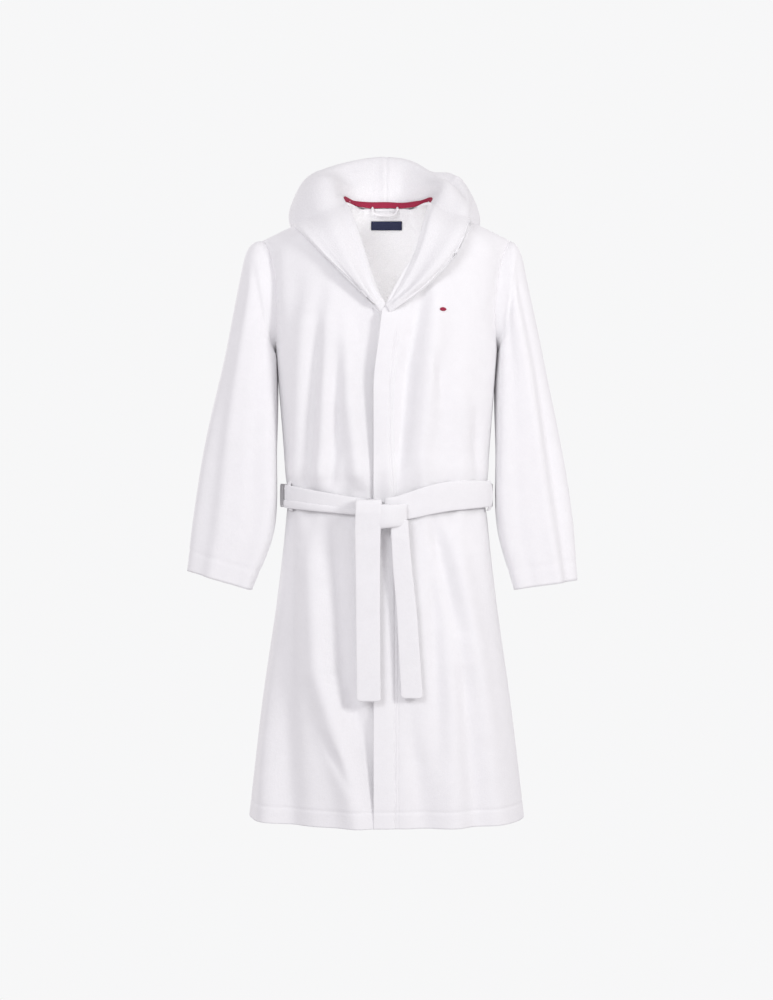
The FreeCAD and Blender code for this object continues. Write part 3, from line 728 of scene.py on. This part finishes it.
# hood and lapels: stations from the crossing, over the right shoulder, round the back neck
# and down the left; each station's points run from the neck seam over the roll to the tuck
hoodStations = [
    [(-.001, -.194, -.214), (-.003, -.197, -.217), (-.005, -.199, -.220), (-.006, -.200, -.223),
     (-.007, -.200, -.226), (-.008, -.199, -.229), (-.009, -.198, -.232), (-.009, -.197, -.234),
     (-.008, -.196, -.234), (-.006, -.195, -.233), (-.003, -.194, -.231)],
    [(-.019, -.176, -.178), (-.024, -.184, -.178), (-.030, -.191, -.179), (-.038, -.197, -.180),
     (-.044, -.198, -.182), (-.050, -.195, -.184), (-.054, -.189, -.185), (-.054, -.185, -.185),
     (-.050, -.182, -.183), (-.044, -.180, -.180), (-.036, -.178, -.178)],
    [(-.044, -.138, -.100), (-.052, -.150, -.099), (-.064, -.161, -.099), (-.080, -.169, -.100),
     (-.094, -.170, -.103), (-.110, -.162, -.107), (-.124, -.149, -.110), (-.127, -.140, -.110),
     (-.122, -.134, -.108), (-.112, -.131, -.104), (-.100, -.130, -.100)],
    [(-.068, -.095, -.028), (-.078, -.110, -.024), (-.094, -.122, -.020), (-.115, -.128, -.017),
     (-.138, -.124, -.018), (-.158, -.110, -.026), (-.177, -.087, -.036), (-.184, -.066, -.044),
     (-.180, -.056, -.051), (-.166, -.052, -.054), (-.150, -.052, -.050)],
    [(-.080, -.050, .006), (-.090, -.066, .024), (-.106, -.076, .038), (-.126, -.076, .047),
     (-.146, -.066, .048), (-.164, -.048, .038), (-.178, -.024, .012), (-.185, -.006, -.018),
     (-.184, .004, -.040), (-.170, .006, -.052), (-.150, .000, -.050)],
    [(-.062, -.018, .002), (-.068, -.016, .022), (-.078, -.010, .046), (-.092, -.002, .068),
     (-.106, .010, .082), (-.122, .028, .080), (-.138, .048, .054), (-.148, .062, .008),
     (-.148, .064, -.050), (-.138, .056, -.100), (-.126, .036, -.104)],
    [(-.032, -.002, -.002), (-.034, .004, .022), (-.037, .012, .050), (-.041, .024, .080),
     (-.046, .040, .104), (-.054, .062, .102), (-.061, .084, .072), (-.066, .102, .014),
     (-.067, .104, -.060), (-.064, .094, -.132), (-.060, .074, -.138)],
    [(0, 0, -.002), (0, .006, .022), (0, .014, .052), (0, .026, .084), (0, .044, .109), (0, .068, .108),
     (0, .094, .076), (0, .112, .014), (0, .112, -.070), (0, .102, -.150), (0, .082, -.156)],
    [(.032, -.002, -.002), (.035, .003, .020), (.039, .010, .046), (.043, .020, .074),
     (.049, .036, .098), (.058, .060, .100), (.066, .082, .070), (.070, .100, .012),
     (.070, .102, -.060), (.066, .092, -.132), (.062, .072, -.138)],
    [(.064, -.018, .002), (.070, -.024, .022), (.080, -.028, .042), (.094, -.026, .055),
     (.104, -.014, .057), (.110, .004, .060), (.124, .026, .073), (.140, .050, .050),
     (.150, .064, -.040), (.138, .056, -.100), (.126, .036, -.104)],
    [(.086, -.052, .006), (.096, -.070, .018), (.110, -.082, .026), (.126, -.084, .028),
     (.139, -.074, .022), (.146, -.056, .014), (.156, -.034, .026), (.176, -.014, .008),
     (.184, .000, -.030), (.170, .006, -.052), (.150, .000, -.050)],
    [(.072, -.098, -.040), (.082, -.114, -.037), (.097, -.126, -.034), (.116, -.134, -.031),
     (.137, -.132, -.030), (.153, -.119, -.031), (.160, -.100, -.036), (.160, -.080, -.040),
     (.169, -.066, -.052), (.160, -.056, -.060), (.146, -.054, -.056)],
    [(.053, -.138, -.116), (.062, -.150, -.114), (.075, -.162, -.112), (.092, -.170, -.110),
     (.110, -.171, -.108), (.127, -.164, -.106), (.139, -.150, -.104), (.140, -.142, -.102),
     (.134, -.137, -.100), (.122, -.134, -.098), (.108, -.132, -.096)],
    [(.024, -.178, -.180), (.032, -.186, -.179), (.043, -.193, -.178), (.055, -.199, -.176),
     (.066, -.201, -.174), (.077, -.198, -.172), (.086, -.190, -.170), (.087, -.186, -.169),
     (.082, -.182, -.168), (.074, -.180, -.168), (.062, -.178, -.168)],
    [(-.002, -.200, -.217), (-.001, -.202, -.219), (.001, -.204, -.222), (.002, -.205, -.225),
     (.003, -.205, -.228), (.004, -.204, -.231), (.004, -.202, -.233), (.003, -.201, -.234),
     (.002, -.200, -.234), (.000, -.199, -.232), (-.001, -.198, -.230)]]


def hoodPoint(t, c):
    # Catmull-Rom along the stations, then across each station's points
    table = np.array(hoodStations)
    rows = alongRows(table.reshape(len(table), -1), t).reshape(len(t), table.shape[1], 3)
    across = alongRows(rows.transpose(1, 0, 2).reshape(table.shape[1], -1), c)
    return across.reshape(len(c), len(t), 3)


hood = {
    "rows": 300, "columns": 110,
    "rollHeight": [0.002, 0.008, 0.013, 0.017, 0.0205, 0.0235, 0.022, 0.012, 0.005, 0.003, 0.002],
    "sharp": 190.0,           # how closely the soft minimum follows the lower of two surfaces
    "crease": 0.0012,         # creases across the back of the collar
    "wave": 0.0030,           # waves along the lapels
}


def drape(p, t, c):
    # keeps the lapels in front of the fronts they lie on: y is at most the fronts' y less the
    # roll's height, by a soft minimum, fading out above the shoulder line
    x, z = p[..., 0], p[..., 2]
    rise = np.clip((z - shoulderZ(x) + robe["ridge"]) / robe["ridge"], 0, 2)
    closing = np.sqrt(np.maximum(0, 1 - np.minimum(rise, 1)**2))
    off = robe["over"] * ease(x / 0.02)
    front = robe["centreY"] + ovalY(x, np.minimum(z, 0.019), off, -1) * closing
    end = 0.35 + 0.65 * ease(t / 1.5) * ease((14 - t) / 1.5)
    height = np.interp(c, np.arange(11), hood["rollHeight"])[:, None] * end[None]
    limit = front - height + 0.09 * ease((rise - 0.75) / 0.8)
    behind = ease((t - 4.6) / 1.0) * ease((9.4 - t) / 1.0)
    limit = limit + 0.6 * behind[None]
    # the tuck goes down behind the roll where the hood crosses the shoulders
    crossing = ease((t - 1.8) / 1.6) * ease((12.2 - t) / 1.6)
    limit = limit + 0.12 * crossing[None] * ease((c - 7.6) / 1.2)[:, None]
    sharp = hood["sharp"]
    low = np.minimum(p[..., 1], limit)
    soft = low - np.log(np.exp(-(p[..., 1] - low) * sharp) + np.exp(-(limit - low) * sharp)) / sharp
    p = p.copy()
    p[..., 1] = soft
    return p


def buildHood():
    # one sheet from the crossing round the neck and back, laid over the shoulders
    t = np.linspace(0, 14, hood["rows"])
    c = np.linspace(0, 10, hood["columns"])
    p = drape(hoodPoint(t, c), t, c)
    inner = (np.arange(hood["columns"]) < 50)[:, None, None]
    n, flip = outward(p, np.array([0, -0.5, 0.8]) * inner)
    tt, cc = t[None], c[:, None]
    # soft creases across the back of the collar and lengthwise waves in the lapels
    back = bell(tt - 7, 2.2)
    lift = hood["crease"] * np.cos(tt * 5.2 + cc * 0.5) * back * ease((cc - 0.8) / 1.5)
    lift = lift * ease((3.6 - cc) / 1.0)
    wave = hood["wave"] * np.sin(cc * 1.7 + tt * 1.1) * (1 - back)
    lift = lift + wave * ease((cc - 0.6) / 1.0) * ease((8 - cc) / 2)
    lift = lift - 0.0012 * bell(p[..., 0], 0.0025) * back             # middle seam
    lift = lift + 0.0005 * bell(np.abs(p[..., 0]) - 0.0065, 0.003) * back
    p = p + n * (lift * ease((tt) / 0.8) * ease((14 - tt) / 0.8))[..., None]
    sheet = makeGrid("hoodAndLapels", p, flip)
    sheet.data.materials.append(terry)
    sheet.data.materials.append(velour)
    solid = thicken(sheet, robe["cloth"])
    solid.material_offset = 1
    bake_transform(sheet)
    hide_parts("hood_right_half", "hood_left_half", "hood_edge_hem", "right_lapel", "left_lapel")


buildHood()
print("hood sewn on")


# belt: straps carried along a path with a rounded flat section
def strap(name, path, across, out, half, thick, square=0.45):
    # section: half * cos^e along across, thick * sin^e along out; both ends closed to a point
    count = len(path)
    angle = np.linspace(0, 2 * math.pi, 40, endpoint=False)
    c = np.sign(np.cos(angle)) * np.abs(np.cos(angle))**square
    s = np.sign(np.sin(angle)) * np.abs(np.sin(angle))**square
    fade = np.ones(count)
    fade[[0, -1]] = 0
    half = (np.broadcast_to(half, count) * fade)[:, None, None]
    thick = (np.broadcast_to(thick, count) * fade)[:, None, None]
    p = path[:, None] + across[:, None] * c[None, :, None] * half
    p = p + out[:, None] * s[None, :, None] * thick
    flip = outward(closed(p), closed(p - path[:, None]))[1]
    made = makeGrid(name, p, flip, wrap=True)
    made.data.materials.append(beltCloth)
    merge = made.modifiers.new("close", "WELD")
    merge.merge_threshold = 0.00005
    return made


beltCloth = clothMaterial("beltTowelling", napGroup, (0.88, 0.875, 0.885), {"Depth": 0.05, "Patch": 50.0},
                          0.4, 0.0012, 0.25)

# x, top z and bottom z of the belt where it shows, from the knot round each side
belt = {
    "thick": 0.0032,
    "right": [(-0.030, -0.576, -0.606), (-0.062, -0.572, -0.604), (-0.130, -0.560, -0.598),
              (-0.185, -0.549, -0.592), (-0.192, -0.547, -0.591)],
    "left": [(-0.006, -0.574, -0.614), (0.012, -0.573, -0.616), (0.045, -0.561, -0.612),
             (0.085, -0.548, -0.603), (0.120, -0.542, -0.597), (0.185, -0.540, -0.591),
             (0.196, -0.541, -0.590)],
}


def spanPath(rows, off, sign):
    # the belt's middle line on the torso's oval, with its half width and slope
    rows = np.array(rows)
    first = angleOf(rows[0, 0], robe["waistZ"], off)
    last = angleOf(rows[-1, 0], robe["waistZ"], off)
    angle = np.linspace(first, last, 90)
    x = xOf(angle, robe["waistZ"], off)
    order = np.argsort(rows[:, 0])
    top = np.interp(x, rows[order, 0], rows[order, 1])
    low = np.interp(x, rows[order, 0], rows[order, 2])
    kernel = np.hanning(19)
    kernel /= kernel.sum()
    top = np.convolve(np.pad(top, 9, mode="edge"), kernel, mode="valid")
    low = np.convolve(np.pad(low, 9, mode="edge"), kernel, mode="valid")
    y = robe["centreY"] + ovalY(x, robe["waistZ"], off, -1)
    path = np.stack([x, y, (top + low) / 2], axis=-1)
    run = np.gradient(path, axis=0)
    run /= np.linalg.norm(run, axis=1, keepdims=True)
    up = np.tile([0.0, 0.0, 1.0], (len(path), 1))
    out = np.cross(run, up) * (1 if sign < 0 else -1)
    out /= np.linalg.norm(out, axis=1, keepdims=True)
    return path, up, out, (top - low) / 2


def buildBelt():
    # two spans in front, the right one folded along its length, and one behind
    path, up, out, half = spanPath(belt["right"], 0.0085, 1)
    if out[0, 1] > 0:
        out = -out
    upper = path + up * (half * 0.30)[:, None]
    lower = path - up * (half * 0.66)[:, None] + out * 0.0012
    rightA = strap("beltRightUpper", upper, up, out, half * 0.70, belt["thick"])
    rightB = strap("beltRightFold", lower, up, out, half * 0.36, belt["thick"] * 1.25, 0.7)
    path, up, out, half = spanPath(belt["left"], 0.0165, -1)
    if out[0, 1] > 0:
        out = -out
    leftA = strap("beltLeftSpan", path, up, out, half, belt["thick"])
    # behind the waist, side to side
    angle = np.linspace(-0.06, math.pi + 0.06, 120)
    x = xOf(np.clip(angle, 0, math.pi), robe["waistZ"], 0.0105)
    turned = np.where((angle < 0) | (angle > math.pi), -0.012, 0)      # ends turn in at the sides
    y = robe["centreY"] + ovalY(x, robe["waistZ"], 0.0105, 1) + turned
    path = np.stack([x, y, np.full_like(x, -0.568)], axis=-1)
    up = np.tile([0.0, 0.0, 1.0], (len(path), 1))
    out = np.stack([np.cos(angle), np.sin(angle), 0 * angle], axis=-1)
    rear = strap("beltBackSpan", path, up, out, 0.0225, belt["thick"])
    for piece, nodes in ((rightA, ["belt_right_span"]), (rightB, []), (leftA, ["belt_left_span"]),
                         (rear, ["belt_back_span"])):
        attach(piece, "robe_body")
        if nodes:
            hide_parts(*nodes)


def hangingEnd(name, rows, thick):
    # a belt end: rows of z, middle x, half width, y
    rows = np.array(rows)
    z = np.linspace(rows[0, 0], rows[-1, 0], 150)
    z = np.concatenate([z, z[-1:]])
    key = -rows[:, 0]
    x = np.interp(-z, key, rows[:, 1])
    half = np.interp(-z, key, rows[:, 2])
    y = np.interp(-z, key, rows[:, 3])
    corner = np.clip((z - z[-1]) / 0.006, 0, 1)
    half = half - 0.006 * (1 - np.sqrt(1 - (1 - corner)**2))
    path = np.stack([x, y, z], axis=-1)
    across = np.tile([1.0, 0.0, 0.0], (len(z), 1))
    out = np.tile([0.0, -1.0, 0.0], (len(z), 1))
    return strap(name, path, across, out, half, thick, 0.35)


def buildKnot():
    # two hanging ends, the turn across the knot and the loop behind it
    rightEnd = hangingEnd("beltRightEnd", [
        (-0.5745, -0.0325, 0.0215, -0.2100), (-0.577, -0.0325, 0.0232, -0.2190),
        (-0.584, -0.0325, 0.0238, -0.2245), (-0.600, -0.0330, 0.0240, -0.2265),
        (-0.630, -0.0345, 0.0238, -0.2240), (-0.700, -0.0345, 0.0225, -0.2215),
        (-0.800, -0.0340, 0.0222, -0.2235), (-0.900, -0.0330, 0.0220, -0.2280),
        (-0.9455, -0.0325, 0.0222, -0.2300)], 0.0030)
    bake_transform(rightEnd)
    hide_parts("belt_right_end")
    leftEnd = hangingEnd("beltLeftEnd", [
        (-0.612, 0.0235, 0.0165, -0.2120), (-0.645, 0.0250, 0.0165, -0.2160),
        (-0.700, 0.0290, 0.0175, -0.2170), (-0.780, 0.0370, 0.0185, -0.2180),
        (-0.880, 0.0430, 0.0195, -0.2220), (-0.9405, 0.0470, 0.0198, -0.2250)], 0.0030)
    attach(leftEnd, "belt_left_end")
    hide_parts("belt_left_end")
    # the turn of the belt across the knot, on the wearer's left of the hanging end
    t = np.linspace(0, 1, 60)
    path = np.stack([-0.030 + 0.068 * t, -0.2165 - 0.006 * np.sin(math.pi * t) + 0.012 * t**3,
                     -0.6085 + 0.004 * t], axis=-1)
    across = np.tile([0.0, 0.0, 1.0], (60, 1))
    out = np.tile([0.0, -1.0, 0.0], (60, 1))
    half = 0.0235 - 0.0035 * t
    wrap = strap("beltKnotTurn", path, across, out, half, 0.0060 + 0.002 * np.sin(math.pi * t), 0.6)
    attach(wrap, "robe_body")
    # the loop behind, over the top edge of both spans
    path = np.stack([-0.0325 + 0 * t, -0.2050 - 0.008 * np.sin(math.pi * t), -0.5755 - 0.042 * t], axis=-1)
    core = strap("beltKnotCore", path, np.tile([1.0, 0, 0], (60, 1)), out, 0.0235, 0.0075, 0.5)
    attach(core, "robe_body")
    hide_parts("belt_knot")


def buildBeltLoops():
    # a narrow bowed strip over the belt at each side
    for sign, name in ((1, "left"), (-1, "right")):
        t = np.linspace(0, 1, 50)
        bow = np.sin(math.pi * t)**0.35
        off = 0.0105 if sign < 0 else 0.0185
        # on the side front, a narrow strip over the belt
        angle = angleOf(sign * 0.186 if sign < 0 else 0.199, robe["waistZ"], off)
        x = xOf(angle, robe["waistZ"], off - 0.010 + 0.010 * bow)
        y = robe["centreY"] + ovalY(x, robe["waistZ"], off - 0.010 + 0.010 * bow, -1)
        y = np.where(np.isnan(y), robe["centreY"], y)
        path = np.stack([x + 0 * t, y, -0.538 - 0.060 * t], axis=-1)
        side = np.array([sign * 0.75, -0.66, 0])
        out = np.tile(side / np.linalg.norm(side), (50, 1))
        across = np.tile([-out[0, 1], out[0, 0], 0.0], (50, 1))
        loop = strap("beltLoop" + name.title(), path, across, out, 0.0045, 0.0012, 0.5)
        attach(loop, "robe_body")
        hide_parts("belt_loop_" + name)


buildBelt()
buildKnot()
buildBeltLoops()
print("belt tied")


# tape, loop, label, tab and emblem
def weaveMaterial(name, tint, second, scale, bump):
    # fine woven tape: slanting ribs between two close shades
    made = bpy.data.materials.new(name)
    made.use_nodes = True
    tree = made.node_tree
    shader = tree.nodes["Principled BSDF"]
    place = node(tree, "ShaderNodeTexCoord")
    ribs = node(tree, "ShaderNodeTexWave")
    ribs.bands_direction = "DIAGONAL"
    ribs.inputs["Scale"].default_value = scale
    ribs.inputs["Distortion"].default_value = 0.4
    tree.links.new(place.outputs["Object"], ribs.inputs["Vector"])
    tone = node(tree, "ShaderNodeValToRGB")
    tone.color_ramp.elements[0].color = (*tint, 1)
    tone.color_ramp.elements[1].color = (*second, 1)
    tree.links.new(ribs.outputs["Fac"], tone.inputs["Fac"])
    tree.links.new(tone.outputs["Color"], shader.inputs["Base Color"])
    raised = node(tree, "ShaderNodeBump")
    raised.inputs["Strength"].default_value = bump
    raised.inputs["Distance"].default_value = 0.0004
    tree.links.new(ribs.outputs["Fac"], raised.inputs["Height"])
    tree.links.new(raised.outputs["Normal"], shader.inputs["Normal"])
    shader.inputs["Roughness"].default_value = 0.7
    shader.inputs["Specular IOR Level"].default_value = 0.3
    return made


tapeWine = weaveMaterial("wineTape", (0.30, 0.012, 0.045), (0.42, 0.03, 0.075), 420.0, 0.6)
labelNavy = weaveMaterial("navyLabel", (0.012, 0.014, 0.045), (0.03, 0.035, 0.085), 520.0, 0.5)
tapeWhite = weaveMaterial("whiteTape", (0.80, 0.79, 0.80), (0.88, 0.87, 0.88), 420.0, 0.6)
trim = {"tapeHeight": 0.0125, "labelHalf": 0.0305, "labelHeight": 0.0165, "labelZ": -0.0345}


def nearestOn(net, x, z):
    # y and normal of the grid's surface at each x, z, from its nearest point's tangent plane
    flat = net.reshape(-1, 3)
    normals = gridNormals(net).reshape(-1, 3)
    pick = np.argmin((flat[None, :, 0] - x[:, None])**2 + (flat[None, :, 2] - z[:, None])**2, axis=1)
    base, n = flat[pick], normals[pick]
    y = base[:, 1] - (n[:, 0] * (x - base[:, 0]) + n[:, 2] * (z - base[:, 2])) / n[:, 1]
    return y, n


def patchOn(name, net, x0, x1, z0, z1, away, thick, material, cols=24, rows=10, oval=False):
    # a thin piece lying on a grid's surface, away metres along y from it
    a, b = np.meshgrid(np.linspace(-1, 1, cols), np.linspace(-1, 1, rows))
    if oval:
        a, b = a * np.sqrt(1 - b**2 / 2), b * np.sqrt(1 - a**2 / 2)
    x, z = (x0 + x1) / 2 + (x1 - x0) / 2 * a, (z0 + z1) / 2 + (z1 - z0) / 2 * b
    y, n = nearestOn(net, x.ravel(), z.ravel())
    p = np.stack([x, y.reshape(x.shape) + away, z], axis=-1)
    flip = outward(p, np.array([0, -1, 0]))[1]
    made = makeGrid(name, p, flip)
    made.data.materials.append(material)
    thicken(made, thick, 1.0)
    return made


def buildTrim():
    # the tape follows the neck seam from shoulder to shoulder
    t = np.linspace(3.9, 10.1, 120)
    c = np.linspace(0.02, 0.55, 8)
    p = hoodPoint(t, c)
    n, flip = outward(p, np.array([0, -1, 0.0]))
    p = p + n * 0.0022
    ends = np.abs(t - 7) / 3.1
    p[..., 2] -= 0.008 * ends[None]**2
    p[..., 1] -= 0.002 * ends[None]
    tape = makeGrid("neckTape", p, flip)
    tape.data.materials.append(tapeWine)
    thicken(tape, 0.0010, 1.0)
    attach(tape, "robe_body")
    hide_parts("neck_tape")
    # hanging loop: a flat strip sewn under the tape at both ends
    a = np.linspace(0, math.pi, 60)
    x = -0.003 - 0.0245 * np.sign(np.cos(a)) * np.abs(np.cos(a))**0.5
    z = 0.001 - 0.0175 * np.sin(a)**0.6
    path = np.stack([x, -0.0085 - 0.001 * np.sin(a), z], axis=-1)
    run = np.gradient(path, axis=0)
    run /= np.linalg.norm(run, axis=1, keepdims=True)
    out = np.tile([0.0, -1.0, 0.0], (60, 1))
    across = np.cross(run, out)
    loop = strap("hangingLoop", path, across, out, 0.0024, 0.0011, 0.6)
    loop.data.materials[0] = tapeWhite
    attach(loop, "hanging_loop")
    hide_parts("hanging_loop")
    label = patchOn("mainLabel", backNet, -trim["labelHalf"], trim["labelHalf"],
                    trim["labelZ"] - trim["labelHeight"] / 2, trim["labelZ"] + trim["labelHeight"] / 2,
                    -0.0065, 0.0008, labelNavy)
    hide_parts("main_label")
    tab = patchOn("sizeTab", backNet, 0.052, 0.061, -0.113, -0.099, -0.0068, 0.0008, labelNavy, 6, 6)
    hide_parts("size_tab")
    for piece in (label, tab):
        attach(piece, "robe_body")
    emblem = patchOn("chestEmblem", overNet, 0.0985, 0.1105, -0.2275, -0.2205, -0.0004, 0.0008,
                     tapeWine, 14, 14, oval=True)
    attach(emblem, "robe_body")
    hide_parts("chest_emblem")


buildTrim()
print("trim sewn on")
